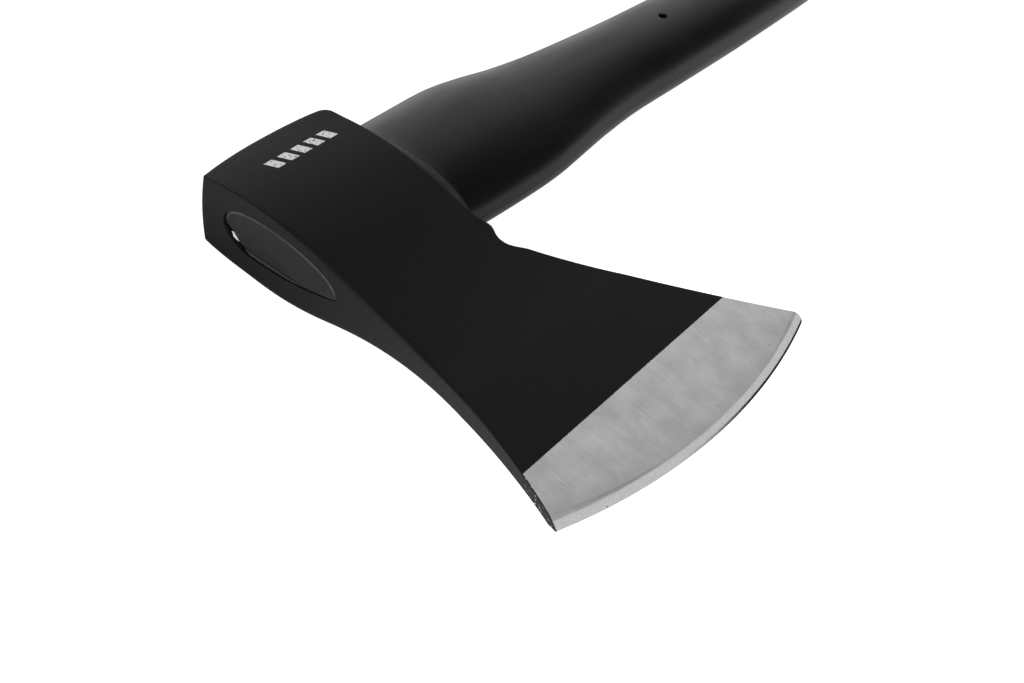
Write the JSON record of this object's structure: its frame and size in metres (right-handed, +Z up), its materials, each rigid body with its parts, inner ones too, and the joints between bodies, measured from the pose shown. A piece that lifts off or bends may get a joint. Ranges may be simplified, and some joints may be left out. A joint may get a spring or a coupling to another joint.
{
  "type": "felling axe",
  "caption": "Felling axe with a black-coated forged steel head, bright ground bit and a curved plastic handle over a fibreglass core, lying on its cheek.",
  "frame": {"origin": "centre of the footprint of the axe as it lies on a flat surface, at the height of that surface", "axes": "+X towards the cutting edge, +Y from the head down the handle to the knob, +Z up; the axe lies on its cheek, its cutting edge and its knob, so the head leans 6.2 degrees about Y with the cutting edge down"},
  "size_m": [0.1772, 0.719, 0.0331],
  "materials": {
    "forged_head": "matt black coating, bit ground bright",
    "jacket_plastic": "satin black moulded",
    "core_fibreglass": "pultruded, translucent straw colour",
    "bond_resin": "cured black resin",
    "grip_rubber": "matt moulded"
  },
  "bodies": {
    "root": {"axe_head": "forged_head", "handle_jacket": "jacket_plastic", "fibreglass_core": "core_fibreglass", "eye_resin": "bond_resin", "grip_sleeve": "grip_rubber"}
  },
  "joints": []
}
